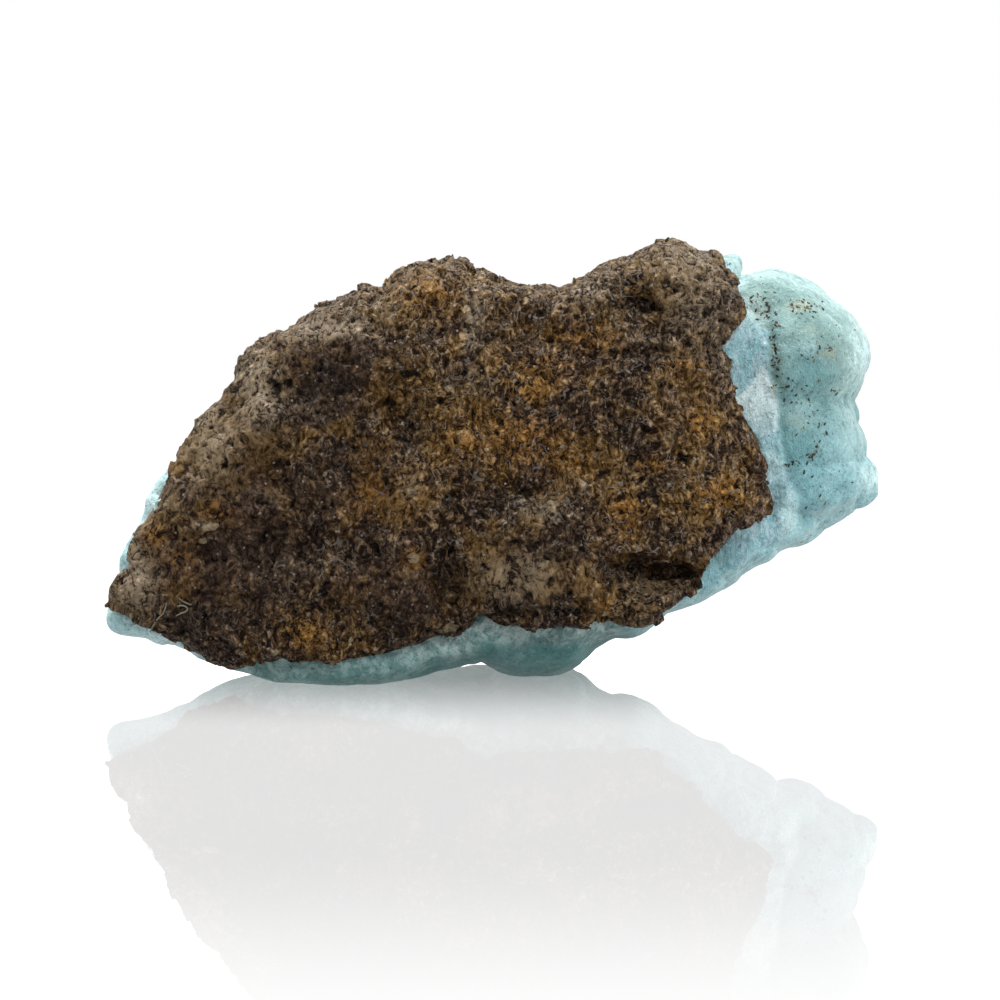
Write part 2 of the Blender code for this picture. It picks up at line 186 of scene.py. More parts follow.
# Deeper blue, and painted shade in the valley and on the big lobe's left flank
BLUE_AND_VALLEY_SHADE_PATCHES = [
    (16.8, 12.5, 1.3, 1.4, 1.0), (16.2, 15.6, 0.5, 1.8, 0.7), (17.2, 16.6, 1.4, 1.7, 0.9),
    (12.6, 6.6, 1.6, 0.7, 0.5), (18.4, 14.9, 1.7, 0.5, 0.6), (13.0, 5.4, 1.5, 0.4, 0.4), (16.7, 8.6, 0.3, 1.2, 0.5),
    (15.95, 13.2, 0.35, 1.5, 0.8), (18.0, 9.6, 1.4, 1.2, 0.3), (15.4, 18.6, 0.4, 1.2, 0.5),
]
STAIN_PATCHES = [
    (18.1, 17.4, 0.6, 0.4, 0.6), (16.6, 19.9, 0.6, 0.3, 0.8), (15.3, 15.6, 0.13, 0.6, 1.0), (14.4, 19.8, 0.4, 0.6, 0.4),
    (16.5, 13.8, 0.6, 0.4, 0.4), (17.2, 18.6, 0.7, 0.4, 0.3),
]
# Larger grains on the matrix: x, height, half-width, half-height, turn in degrees and tone
GRAINS = [
    (-4.2, 6.4, 0.42, 0.40, 20, 1.0), (-4.4, 10.0, 0.25, 0.20, 60, 0.9), (-2.4, 15.5, 0.26, 0.20, 10, 1.0),
    (-11.7, 1.3, 0.24, 0.20, 0, 1.0), (12.95, 9.95, 0.22, 0.18, 30, 1.1), (13.3, 10.0, 0.16, 0.14, 0, 0.9),
    (6.2, 3.4, 0.30, 0.16, 20, 1.2), (-7.6, 1.9, 0.30, 0.15, 80, 0.9), (3.2, 9.35, 0.28, 0.16, 5, 1.1),
    (9.4, 16.0, 0.10, 0.08, 0, 1.2), (8.9, 15.3, 0.09, 0.08, 0, 1.2), (-1.3, 19.7, 0.22, 0.42, 15, 1.1),
    (-15.2, 8.05, 0.66, 0.24, 12, 0.75), (-2.3, 2.65, 0.85, 0.34, 14, 0.6), (-15.6, 7.3, 0.3, 0.2, 0, 0.6),
    (6.9, 9.9, 0.2, 0.1, 40, 1.0), (-0.3, 12.2, 0.2, 0.14, 0, 0.9), (-1.4, 18.7, 0.14, 0.3, 160, 1.0),
    (-0.7, 19.95, 0.14, 0.22, 10, 1.0), (-0.45, 19.2, 0.12, 0.2, 170, 1.0), (-0.9, 18.35, 0.1, 0.22, 20, 0.9),
    (-1.1, 17.8, 0.08, 0.2, 160, 0.9), (-9.0, 10.9, 0.2, 0.12, 45, 0.8), (-12.8, 13.9, 0.18, 0.14, 0, 0.9), (4.9, 11.9, 0.16, 0.14, 0, 0.8),
]
# Lint: the fibres' places on the picture plane
LINT = [
    [(-17.55, 3.95), (-17.65, 3.45), (-18.05, 3.1), (-18.3, 2.7), (-18.45, 2.35)],
    [(-17.0, 3.75), (-16.75, 3.85), (-16.4, 3.7), (-16.45, 3.5), (-16.75, 3.4), (-17.05, 3.25)],
    [(-16.9, 4.2), (-16.6, 3.95), (-16.2, 3.85)],
]
# Clusters of dark specks on the crust: x, height, half-width, half-height and how many
SPECK_CLUSTERS = [
    (14.6, 20.5, 0.35, 0.3, 16), (14.9, 19.8, 0.3, 0.35, 20), (15.3, 18.6, 0.14, 0.7, 22), (15.4, 17.2, 0.2, 0.6, 20),
    (16.8, 20.1, 0.4, 0.2, 24), (17.7, 20.0, 0.3, 0.2, 12), (16.7, 15.3, 0.45, 0.5, 20), (17.4, 13.4, 0.45, 0.9, 22),
    (16.7, 11.5, 0.4, 0.08, 12), (17.45, 11.9, 0.1, 0.25, 9), (18.6, 15.4, 0.2, 0.15, 6), (12.8, 22.0, 0.3, 0.3, 8),
    (18.0, 17.4, 0.6, 0.4, 12), (15.6, 15.8, 0.2, 0.4, 8), (17.8, 18.6, 0.8, 0.8, 10), (18.2, 10.0, 1.2, 1.2, 8),
    (17.4, 7.0, 1.0, 0.5, 6),
]


def to_frame(x, depth, height):
    """A place on the picture plane's axes, in mm, as a place in the frame, in metres."""
    turned = Matrix.Rotation(-SIGHT_TILT, 3, "X") @ Vector((x, depth, height))
    return (turned - Vector((0, SIGHT_ZERO_DEPTH, 0))) * MM


SIGHT = (to_frame(0, 1, 0) - to_frame(0, 0, 0)).normalized()


def to_picture(points):
    """Places in the frame, in mm, as x, depth and height on the picture plane's axes."""
    x, y, z = points.T
    y = y + SIGHT_ZERO_DEPTH
    cos, sin = math.cos(SIGHT_TILT), math.sin(SIGHT_TILT)
    return x, y * cos - z * sin, y * sin + z * cos


def smoothstep(low, high, value):
    t = np.clip((value - low) / (high - low), 0, 1)
    return t * t * (3 - 2 * t)


def fractal(points, size, octaves, seed):
    """Smooth noise from about -1 to 1, whose features have the given size."""
    offset = Vector((seed * 3.7, seed * 1.3, seed * 5.9))
    return np.array([noise.fractal(Vector(p) / size + offset, 0.9, 2.0, octaves) for p in points])


def facets(points, size, seed):
    """Broken facets of the given size: each one's slanted rise, from about -1 to 1, its tone, from 0 to 1, and how
    deep inside it a point is, from 0 at its edge."""
    offset = Vector((seed * 2.3, seed * 4.1, seed * 0.7))
    rise = np.empty(len(points))
    tone = np.empty(len(points))
    inside = np.empty(len(points))
    for i, p in enumerate(points):
        place = Vector(p) / size + offset
        distances, centres = noise.voronoi(place)
        slant = noise.cell_vector(centres[0] * 61) - Vector((0.5, 0.5, 0.5))
        tone[i] = noise.cell(centres[0] * 37) * 0.5 + 0.5
        rise[i] = 2.2 * slant.dot(place - centres[0]) + tone[i] - 0.5
        inside[i] = distances[1] - distances[0]
    return rise, tone, inside


def cover(x, height, patches, power=1):
    """How strongly soft-edged patches cover each point."""
    total = np.zeros(len(x))
    for px, ph, half_width, half_height, strength in patches:
        away = ((x - px) / half_width) ** 2 + ((height - ph) / half_height) ** 2
        total = np.maximum(total, strength * np.exp(-(away**power)))
    return total


def forward(x, height, forms):
    total = np.zeros(len(x))
    for px, ph, half_width, half_height, rise in forms:
        away = ((x - px) / half_width) ** 2 + ((height - ph) / half_height) ** 2
        total += rise * np.exp(-(away**2))
    return total


def inside(x, height, corners, softness=0.08):
    """1 inside a convex outline and 0 outside it."""
    share = np.ones(len(x))
    for (ax, ah), (bx, bh) in zip(corners, corners[1:] + corners[:1]):
        away = ((bx - ax) * (height - ah) - (bh - ah) * (x - ax)) / math.hypot(bx - ax, bh - ah)
        share = np.minimum(share, 1 - smoothstep(-softness, softness, away))
    return share


def swell(points, patches, share=1.0):
    """Moves the places near the outline's patches away from the middle, in the picture plane."""
    x, depth, height = to_picture(points)
    reach = forward(x, height, patches) * share
    away = np.column_stack([x - MIDDLE[0], np.zeros(len(x)), height - MIDDLE[1]])
    return points + away / np.linalg.norm(away, axis=1)[:, None] * reach[:, None]


def merged_copy(node):
    """A CAD node's triangles, joined."""
    bm = bmesh.new()
    bm.from_mesh(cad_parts[node].data)
    bmesh.ops.remove_doubles(bm, verts=bm.verts, dist=WELD)
    return bm


def refined_copy(node, neighbour, fine, coarse, rounds):
    """A copy of a CAD node with finer triangles, coarser ones at the back, and coarse ones where its neighbour hides it.

    Its vertex layer "seat" is 1 where it is hidden and 0 where it shows."""
    bm = merged_copy(node)
    other = merged_copy(neighbour)
    tree = BVHTree.FromBMesh(other)
    other.free()
    seat = bm.verts.layers.float.new("seat")
    for vertex in bm.verts:
        vertex[seat] = float(tree.find_nearest(vertex.co)[3] < SEAT_DISTANCE * MM)
    for _ in range(rounds):
        cut = []
        bm.normal_update()
        for edge in bm.edges:
            a, b = edge.verts
            limit = fine * (BACK_EDGE if min(a.normal.dot(SIGHT), b.normal.dot(SIGHT)) > 0.15 else 1)
            if min(a[seat], b[seat]) > 0.99:
                limit = coarse
            if edge.calc_length() > limit * MM:
                cut.append(edge)
        if not cut:
            break
        bmesh.ops.subdivide_edges(bm, edges=cut, cuts=1, use_grid_fill=True)
        bmesh.ops.triangulate(bm, faces=[f for f in bm.faces if len(f.verts) > 3])
        bmesh.ops.smooth_vert(bm, verts=bm.verts, factor=0.5, use_axis_x=True, use_axis_y=True, use_axis_z=True)
    return bm


def surface_tree(name):
    """The surface of a piece, in mm, to find places on."""
    mesh = bpy.data.objects[name].data
    return BVHTree.FromPolygons([v.co / MM for v in mesh.vertices], [p.vertices for p in mesh.polygons])


def places_of(bm):
    """The vertices' places in mm, and their normals."""
    bm.normal_update()
    return np.array([v.co for v in bm.verts]) / MM, np.array([v.normal for v in bm.verts])


def seats_of(bm):
    layer = bm.verts.layers.float["seat"]
    return np.array([v[layer] for v in bm.verts])


def move_to(bm, points):
    """Puts the vertices at these places in mm, inside the CAD solids' box."""
    low, high = np.array(CAD_LOW) / MM, np.array(CAD_HIGH) / MM
    for vertex, point in zip(bm.verts, np.clip(points, low, high)):
        vertex.co = Vector(point) * MM
    bm.normal_update()


def finish_piece(name, bm, finish, attributes=None, replaced=(), smooth=True):
    mesh = bpy.data.meshes.new(name)
    bm.to_mesh(mesh)
    bm.free()
    for key, values in (attributes or {}).items():
        values = np.asarray(values, dtype=np.float32)
        if values.ndim == 1:
            mesh.attributes.new(key, "FLOAT", "POINT").data.foreach_set("value", values)
        else:
            mesh.attributes.new(key, "FLOAT_VECTOR", "POINT").data.foreach_set("vector", values.ravel())
    mesh.materials.append(finish)
    if smooth:
        mesh.shade_smooth()
    else:
        mesh.shade_flat()
    piece = bpy.data.objects.new(name, mesh)
    bpy.context.scene.collection.objects.link(piece)
    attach(piece, "root")
    for node in replaced:
        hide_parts(node)
    return piece


def blobs(matrices, subdivisions=1):
    """Many small grains in one mesh, one for each matrix, which turns and stretches a ball of 1 mm radius."""
    whole = bmesh.new()
    for start in range(0, len(matrices), CHUNK):
        part = bmesh.new()
        for matrix in matrices[start : start + CHUNK]:
            bmesh.ops.create_icosphere(part, subdivisions=subdivisions, radius=MM, matrix=matrix)
        mesh = bpy.data.meshes.new("chunk")
        part.to_mesh(mesh)
        part.free()
        whole.from_mesh(mesh)
        bpy.data.meshes.remove(mesh)
    return whole


def seated(place, normal, sizes, turn=0.0, tilt=(0.0, 0.0), sink=0.0):
    """A matrix that lays a ball, stretched to these half-sizes in mm, on a surface."""
    upright = Vector(normal).to_track_quat("Z", "Y").to_matrix().to_4x4()
    spin = Matrix.Rotation(turn, 4, "Z") @ Matrix.Rotation(tilt[0], 4, "X") @ Matrix.Rotation(tilt[1], 4, "Y")
    seat = Matrix.Translation((Vector(place) - Vector(normal) * sink) * MM)
    return seat @ upright @ spin @ Matrix.Diagonal((*sizes, 1))


def seen(tree, x, height):
    """The place and the normal, in mm, where a line of sight meets a surface."""
    start = to_frame(x, -100, height) / MM
    return tree.ray_cast(start, SIGHT)[:2]


class Nodes:
    """A short way to add and join the nodes of a material or a group."""

    def __init__(self, tree):
        self.tree = tree

    def add(self, kind, inputs=None, **settings):
        node = self.tree.nodes.new(kind)
        for key, value in settings.items():
            setattr(node, key, value)
        for key, value in (inputs or {}).items():
            self.put(node.inputs[key], value)
        return node

    def put(self, socket, value):
        if isinstance(value, bpy.types.NodeSocket):
            self.tree.links.new(value, socket)
        elif socket.type == "RGBA":
            socket.default_value = (*value, 1)
        else:
            socket.default_value = value

    def math(self, operation, a, b=0.0):
        return self.add("ShaderNodeMath", {0: a, 1: b}, operation=operation).outputs[0]

    def vector(self, operation, a, b=None, scale=None):
        node = self.add("ShaderNodeVectorMath", {0: a}, operation=operation)
        if b is not None:
            self.put(node.inputs[1], b)
        if scale is not None:
            self.put(node.inputs["Scale"], scale)
        return node.outputs["Value" if operation == "DOT_PRODUCT" else "Vector"]

    def total(self, *parts):
        """The sum of pairs of a value and its weight."""
        result = 0.0
        for value, weight in parts:
            result = self.math("ADD", self.math("MULTIPLY", value, weight), result)
        return result

    def mix(self, factor, a, b):
        return self.add("ShaderNodeMix", {0: factor, 6: a, 7: b}, data_type="RGBA").outputs[2]

    def scaled(self, colour, value):
        grey = self.add("ShaderNodeCombineColor", {0: value, 1: value, 2: value}).outputs[0]
        return self.add("ShaderNodeMix", {0: 1.0, 6: colour, 7: grey}, data_type="RGBA", blend_type="MULTIPLY").outputs[2]

    def band(self, value, low, high, to_low=0.0, to_high=1.0):
        inputs = {0: value, 1: low, 2: high, 3: to_low, 4: to_high}
        return self.add("ShaderNodeMapRange", inputs, interpolation_type="SMOOTHSTEP").outputs[0]

    def attribute(self, name, output="Fac"):
        return self.add("ShaderNodeAttribute", attribute_name=name).outputs[output]

    def places(self):
        """Object coordinates in mm."""
        return self.vector("SCALE", self.add("ShaderNodeTexCoord").outputs["Object"], scale=1 / MM)

    def noise(self, places, size, detail=4.0, roughness=0.6, distortion=0.0):
        inputs = {"Vector": places, "Scale": 1 / size, "Detail": detail, "Roughness": roughness, "Distortion": distortion}
        return self.add("ShaderNodeTexNoise", inputs).outputs["Fac"]


def new_material(name):
    made = bpy.data.materials.new(name)
    made.use_nodes = True
    return made, Nodes(made.node_tree), made.node_tree.nodes["Principled BSDF"]


def rock_zones(points, normals):
    """The rock's zones at these places: broad waves, a bend for the grain, gates for the painted glint lines, and the
    patches, some of which hold painted shade and painted top light.
    """
    x, depth, height = to_picture(points)
    front = 1 - smoothstep(-0.5, 3.0, depth)
    wander = fractal(points, 1.5, 4, 5) * 1.6
    # Painted top light: lighter where the surface faces up
    top = np.clip(normals[:, 2] - 0.35, 0, 1)
    return {
        "bend": np.array([noise.turbulence_vector(Vector(p) / 0.9, 2, False) for p in points]),
        "broad": smoothstep(-0.35, 0.35, fractal(points, 2.2, 3, 21)),
        "gate": smoothstep(-0.02, 0.2, fractal(points, 0.8, 2, 22)),
        "rust": np.clip(cover(x, height, RUST_PATCHES) * front + (1 - front) * np.clip(wander, 0, 1), 0, 1),
        "dark": np.clip(cover(x, height, DARK_STAIN_AND_SHADE_PATCHES) * front + (1 - front) * np.clip(-wander, 0, 1), 0, 1),
        "dust_and_top_light": np.clip(cover(x, height, DUST_AND_LIT_PATCHES) * front + top * 0.6, 0, 1),
        "gold_and_top_light": np.clip(cover(x, height, GOLD_PATCHES) * front + top * 0.3, 0, 1),
        "umber": cover(x, height, UMBER_PATCHES) * front,
        "calm": cover(x, height, CALM_PATCHES, 2) * front,
    }


def rock_material(settings):
    """Iron-stained rock with a wet gloss: golden, rusty, dark and dusty zones and ragged flakes, with painted light:
    pale glint lines and sparkles, painted shade beside the lines, in hollows and in recesses, and painted top light on
    surfaces facing up.
    """
    made, n, shader = new_material("iron_stained_rock")
    places = n.places()
    calm = n.attribute("calm")
    bent = n.vector("ADD", places, n.vector("SCALE", n.attribute("bend", "Vector"), scale=BEND))
    ragged = n.noise(n.vector("MULTIPLY", bent, (1.0, 1.0, 0.7)), 0.3, 5.0, 0.8, 0.2)
    flakes = n.band(ragged, n.total((calm, -0.08), (0.365, 1.0)), n.total((calm, 0.1), (0.605, 1.0)))
    curls = n.noise(places, 0.8, 0.5, 0.5, 0.8)
    level = n.total((flakes, 0.72), (n.attribute("tone"), 0.18), (n.attribute("broad"), 0.1))
    zone = n.math("MULTIPLY", n.attribute("broad"), n.total((n.attribute("umber"), -1.0), (1.0, 1.0)))
    colour = n.mix(n.band(level, 0.15, 0.42), settings.dark, n.mix(zone, settings.umber, settings.brown))
    colour = n.mix(n.band(level, 0.42, 0.64), colour, n.mix(zone, settings.amber, settings.ochre))
    colour = n.mix(n.band(level, 0.66, 0.9, 0.0, 0.6), colour, settings.tan)
    rust = n.math("MULTIPLY", n.attribute("rust"), n.band(level, 0.3, 0.62))
    colour = n.mix(rust, colour, settings.rust)
    # Golden flakes, also painted top light on surfaces that face up
    gold_and_top_light = n.math("MULTIPLY", n.attribute("gold_and_top_light"), n.band(level, 0.28, 0.68))
    colour = n.mix(gold_and_top_light, colour, settings.gold_and_top_light)
    # Grey-tan dust, and painted light on the tops and the lit ledges
    dust_and_top_light = n.math("MULTIPLY", n.attribute("dust_and_top_light"), n.band(level, 0.28, 0.6, 0.05, 1.0))
    colour = n.mix(dust_and_top_light, colour, settings.dust_and_top_light)
    # Dark stains, and painted shade where the rock lies in recesses
    stain_and_shade = n.math("MULTIPLY", n.attribute("dark"), n.band(level, 0.3, 0.8, 0.9, 0.5))
    colour = n.mix(stain_and_shade, colour, settings.stain_and_shade_black)
    # Painted shade: darker where the surface lies deeper, in pits and crevices
    colour = n.mix(n.band(n.attribute("hollow_shade"), 0.5, 0.95, 0.0, 0.8), colour, settings.stain_and_shade_black)
    colour = n.mix(n.math("MULTIPLY", n.attribute("pale"), n.band(flakes, 0.0, 0.7, 0.5, 0.95)), colour, settings.grain)
    # Painted highlights: thin pale curving lines, each with a painted shadow line just beside it
    glint_curve = n.math("SUBTRACT", curls, 0.5)
    gate = n.math("MULTIPLY", n.attribute("gate"), n.total((calm, -0.85), (1.0, 1.0)))
    pale = n.math("MULTIPLY", n.band(n.math("ABSOLUTE", n.math("SUBTRACT", glint_curve, 0.025)), 0.008, 0.025, 1.0, 0.0), gate)
    shade_under_glint = n.math("MULTIPLY", n.band(n.math("ABSOLUTE", n.math("ADD", glint_curve, 0.02)), 0.01, 0.04, 1.0, 0.0), gate)
    colour = n.mix(n.math("MULTIPLY", shade_under_glint, 0.6), colour, settings.stain_and_shade_black)
    colour = n.mix(n.math("MULTIPLY", pale, 0.6), colour, settings.painted_glint)
    # Painted highlights: small pale sparkle dots
    dots = n.add("ShaderNodeTexVoronoi", {"Vector": places, "Scale": 1 / 0.5})
    lit = n.band(n.add("ShaderNodeSeparateColor", {0: dots.outputs["Color"]}).outputs[1], 0.4, 0.45)
    lit = n.math("MULTIPLY", lit, n.band(dots.outputs["Distance"], 0.1, 0.18, 1.0, 0.0))
    colour = n.mix(n.math("MULTIPLY", lit, 0.85), colour, settings.painted_glint)
    n.put(shader.inputs["Base Color"], colour)
    n.put(shader.inputs["Roughness"], n.band(level, 0.2, 0.8, 0.4, 0.7))
    heights = n.total((flakes, 0.2), (pale, 0.03), (shade_under_glint, -0.03))
    bump = n.add("ShaderNodeBump", {"Strength": 1.0, "Distance": MM, "Height": heights})
    n.put(shader.inputs["Normal"], bump.outputs[0])
    n.put(shader.inputs["Coat Weight"], n.band(level, 0.3, 0.7, 0.0, 0.2))
    shader.inputs["Coat Roughness"].default_value = 0.2
    shader.inputs["Specular IOR Level"].default_value = 0.1
    return made


def crust_material(settings):
    """Milky blue-green hemimorphite, fine-grained like sandpaper, with a paler broken band and a little rust; with
    painted rim light on its edges, painted shade in its valleys, small pits and along its foot, and painted pinprick
    highlights.
    """
    made, n, shader = new_material("blue_hemimorphite")
    places = n.places()
    cloud = n.band(n.noise(places, 2.2, 3.0, 0.6), 0.35, 0.65)
    veil = n.band(n.noise(places, 0.7, 4.0, 0.7, 0.4), 0.32, 0.68)
    sand = n.band(n.noise(places, 0.11, 1.0, 0.6), 0.3, 0.7)
    # Pale pinpricks, partly pale grains and partly painted highlights, and darker dots, painted shade in small pits
    pin = n.noise(places, 0.2, 0.0)
    pale_dot_and_highlight = n.band(pin, 0.68, 0.76)
    pit_shade = n.band(pin, 0.24, 0.32, 1.0, 0.0)
    colour = n.mix(n.attribute("low"), settings.green, settings.blue)
    # Darker teal along the foot, which is also painted shade on the underside below the overhang
    colour = n.mix(n.attribute("foot"), colour, settings.foot)
    colour = n.mix(n.math("MULTIPLY", n.attribute("skirt"), n.band(veil, 0.2, 0.8, 0.35, 1.0)), colour, settings.skirt)
    # Deeper blue, and painted shade in the valleys
    colour = n.mix(n.math("MULTIPLY", n.attribute("deep"), n.total((cloud, 0.4), (0.65, 1.0))), colour, settings.deep)
    # Milky clouds, and painted rim light: paler at the edges that turn away and at the lit rims
    pale = n.math("MAXIMUM", n.attribute("pale"), n.math("MULTIPLY", cloud, 0.15))
    colour = n.mix(n.math("MULTIPLY", pale, n.band(veil, 0.0, 0.6, 0.6, 1.0)), colour, settings.milk_and_rim_light)
    fibres = n.band(n.noise(n.vector("MULTIPLY", places, (2.4, 2.4, 0.7)), 0.7, 4.0, 0.65, 0.5), 0.34, 0.66)
    broken = n.mix(fibres, settings.blue, settings.frost)
    broken = n.mix(n.math("MULTIPLY", n.attribute("deep"), 0.8), broken, settings.deep)
    broken = n.mix(n.math("MULTIPLY", n.attribute("pale"), 0.8), broken, settings.milk_and_rim_light)
    colour = n.mix(n.attribute("band"), colour, broken)
    striped = n.band(n.noise(n.vector("MULTIPLY", places, (0.8, 0.8, 4.0)), 0.5, 2.0, 0.6), 0.36, 0.6, 0.55, 1.0)
    colour = n.mix(n.math("MULTIPLY", n.attribute("white"), striped), colour, settings.white)
    colour = n.mix(n.math("MULTIPLY", n.attribute("stain"), n.band(veil, 0.2, 0.8, 0.2, 0.8)), colour, settings.stain)
    sand_share = n.total((n.attribute("white"), -0.14), (0.24, 1.0))
    colour = n.scaled(colour, n.total((veil, 0.22), (sand, sand_share), (pale_dot_and_highlight, 0.3), (pit_shade, -0.3), (0.78, 1.0)))
    n.put(shader.inputs["Base Color"], colour)
    n.put(shader.inputs["Roughness"], n.band(sand, 0.2, 0.8, 0.34, 0.6))
    broken_height = n.math("MULTIPLY", fibres, n.attribute("band"))
    heights = n.total((veil, 0.05), (sand, 0.02), (pale_dot_and_highlight, 0.02), (pit_shade, -0.03), (broken_height, 0.06))
    bump = n.add("ShaderNodeBump", {"Strength": 0.9, "Distance": MM, "Height": heights})
    n.put(shader.inputs["Normal"], bump.outputs[0])
    shader.inputs["Subsurface Weight"].default_value = 0.25
    shader.inputs["Subsurface Radius"].default_value = (0.7, 1.1, 1.2)
    shader.inputs["Subsurface Scale"].default_value = 1.0 * MM
    return made


def colour_property(name, description, default):
    return FloatVectorProperty(name=name, description=description, subtype="COLOR", default=default, min=0, max=1)


def millimetres(name, description, default):
    return FloatProperty(name=name, description=description + ", in mm", default=default, min=0.0, precision=3)


class RockSettings(bpy.types.PropertyGroup):
    edge: millimetres("Finest edge", "Length of the triangles' edges where the rock shows", 0.175)
    regain: millimetres("Regain", "How far the surface moves out again after it was smoothed", 0.05)
    blocks: millimetres("Blocks", "Rise of the facets that are 2 mm wide", 0.16)
    lumps: millimetres("Lumps", "Rise of the facets that are 0.9 mm wide", 0.16)
    chips: millimetres("Chips", "Rise of the facets that are 0.45 mm wide", 0.1)
    ridges: millimetres("Ridges", "Rise of the winding ridges", 0.1)
    dark: colour_property("Dark", "The rock's darkest brown", (0.020, 0.010, 0.005))
    umber: colour_property("Umber", "The rock's purplish brown", (0.064, 0.036, 0.024))
    brown: colour_property("Brown", "The rock's main brown", (0.120, 0.056, 0.013))
    amber: colour_property("Amber", "Lighter flakes in purplish zones", (0.165, 0.10, 0.062))
    ochre: colour_property("Ochre", "Lighter flakes in golden zones", (0.30, 0.155, 0.028))
    tan: colour_property("Tan", "The palest flakes", (0.50, 0.34, 0.18))
    rust: colour_property("Rust", "Orange stains", (0.58, 0.25, 0.02))
    # Golden weathered flakes, also the painted light on surfaces that face up
    gold_and_top_light: colour_property("Gold", "Golden weathered flakes", (0.46, 0.31, 0.13))
    # Grey-tan dust, also the painted light on surfaces that face up
    dust_and_top_light: colour_property("Dust", "Grey-tan dust", (0.53, 0.415, 0.285))
    grain: colour_property("Grain", "The larger pale grains", (0.62, 0.48, 0.29))
    # Dark stains, and the painted shade in crevices, hollows and recesses and beside the painted glint lines
    stain_and_shade_black: colour_property("Black", "Crevices and dark stains", (0.010, 0.008, 0.008))
    # Painted highlights: the pale glint lines and the sparkles
    painted_glint: colour_property("Glint", "Pale threads and glints", (0.52, 0.46, 0.40))


class CrustSettings(bpy.types.PropertyGroup):
    edge: millimetres("Finest edge", "Length of the triangles' edges where the crust shows", 0.18)
    regain: millimetres("Regain", "How far the surface moves out again after it was smoothed", 0.22)
    lobes: millimetres("Small lobes", "Rise of the small lobes", 0.07)
    chips: millimetres("Chips", "Rise of the broken band's facets", 0.14)
    groove: millimetres("Groove", "Depth of the groove between the broken band and the lobes", 0.13)
    green: colour_property("Green", "The upper lobes", (0.20, 0.345, 0.325))
    blue: colour_property("Blue", "The lower lobes", (0.225, 0.47, 0.52))
    # Milky clouds, and the painted rim light on the crust's edges
    milk_and_rim_light: colour_property("Milk", "Milky clouds and rims", (0.61, 0.83, 0.83))
    # Deeper blue, and the painted shade in the valleys
    deep: colour_property("Deep", "Blue hollows and valleys", (0.06, 0.23, 0.25))
    # The crust's darker teal along the foot, and painted shade there
    foot: colour_property("Foot", "The dark band along the foot", (0.05, 0.195, 0.19))
    skirt: colour_property("Skirt", "Dusty edge below the rock", (0.52, 0.64, 0.62))
    frost: colour_property("Frost", "The broken band", (0.42, 0.60, 0.66))
    white: colour_property("White", "The broken band's palest facets", (0.75, 0.90, 0.91))
    stain: colour_property("Stain", "Rusty stains", (0.34, 0.30, 0.15))
    speck: colour_property("Speck", "Dark specks", (0.02, 0.025, 0.02))


class GrainSettings(bpy.types.PropertyGroup):
    seed: IntProperty(name="Seed", description="Start of the random draws", default=7)
    flakes: IntProperty(name="Flakes", description="How many flakes stand out of the rock", default=1500, min=1)
    speck: millimetres("Speck", "Half-length of the largest dark specks", 0.155)
    lint: millimetres("Lint", "Radius of the fibres", 0.045)
    speck_colour: colour_property("Specks", "Colour of the dark specks", (0.02, 0.02, 0.015))
    lint_colour: colour_property("Lint", "Colour of the fibres", (0.42, 0.38, 0.30))


class StudioSettings(bpy.types.PropertyGroup):
    sky: FloatProperty(name="Surroundings", description="Light from all round", default=0.34, min=0.0)
    top: FloatProperty(name="Top light", description="Power of the top light, in watts", default=2.6, min=0.0)
    front: FloatProperty(name="Front light", description="Power of the front light, in watts", default=1.6, min=0.0)
    back: FloatProperty(name="Back light", description="Power of the wide light behind, in watts", default=3.0, min=0.0)
    side: FloatProperty(name="Side lights", description="Power of the lights left and right, in watts", default=1.3, min=0.0)


class StoneSettings(bpy.types.PropertyGroup):
    rock: PointerProperty(name="Matrix rock", description="The brown rock", type=RockSettings)
    crust: PointerProperty(name="Crust", description="The blue crust", type=CrustSettings)
    grains: PointerProperty(name="Grains", description="Flakes, specks and lint", type=GrainSettings)
    studio: PointerProperty(name="Studio", description="Floor and light", type=StudioSettings)


class STONE_OT_matrix(bpy.types.Operator):
    """Makes the brown matrix rock over its CAD node"""

    bl_idname = "stone.matrix"
    bl_label = "Matrix rock"

    def execute(self, context):
        settings = context.scene.stone.rock
        bm = refined_copy("matrix_rock", "hemimorphite_crust", settings.edge, 0.6, 4)
        points, normals = places_of(bm)
        shown = 1 - seats_of(bm)
        x, depth, height = to_picture(points)
        facing = smoothstep(0.1, 0.5, -(normals @ np.array(SIGHT)))
        points = points - np.array(SIGHT) * (forward(x, height, ROCK_FORMS) * facing * shown)[:, None]
        move_to(bm, swell(points, ROCK_SWELLS))
        points, normals = places_of(bm)
        shrink = settings.regain * shown
        blocks, _, _ = facets(points + fractal(points, 1.5, 3, 7)[:, None] * 0.3, 2.1, 1)
        lumps, _, lump_inside = facets(points, 0.95, 2)
        chips, tone, chip_inside = facets(points, 0.46, 3)
        pits = smoothstep(0.32, 0.75, fractal(points, 0.75, 3, 4))
        ridges = 0.5 - 2 * np.abs(fractal(points * (1, 1, 0.6) + blocks[:, None] * 0.2, 0.7, 2, 9))
        rough = 0.45 + 0.55 * smoothstep(0.1, 0.5, np.abs(normals @ np.array(SIGHT)))
        rise = blocks * settings.blocks + lumps * settings.lumps + chips * settings.chips * rough - pits * 0.25
        rise += ridges * settings.ridges * rough
        points = points + normals * (rise * shown + shrink)[:, None]
        move_to(bm, points)
        attributes = rock_zones(points, normals)
        attributes["tone"] = tone
        # Painted shade for the material: higher where the surface lies lower, in pits and between lumps
        attributes["hollow_shade"] = np.clip(0.35 - rise * 1.3 - np.minimum(lump_inside, 0.2) + pits * 0.5, 0, 1)
        finish = rock_material(settings)
        finish_piece("matrix_rock_surface", bm, finish, attributes, ["matrix_rock"])
        return {"FINISHED"}


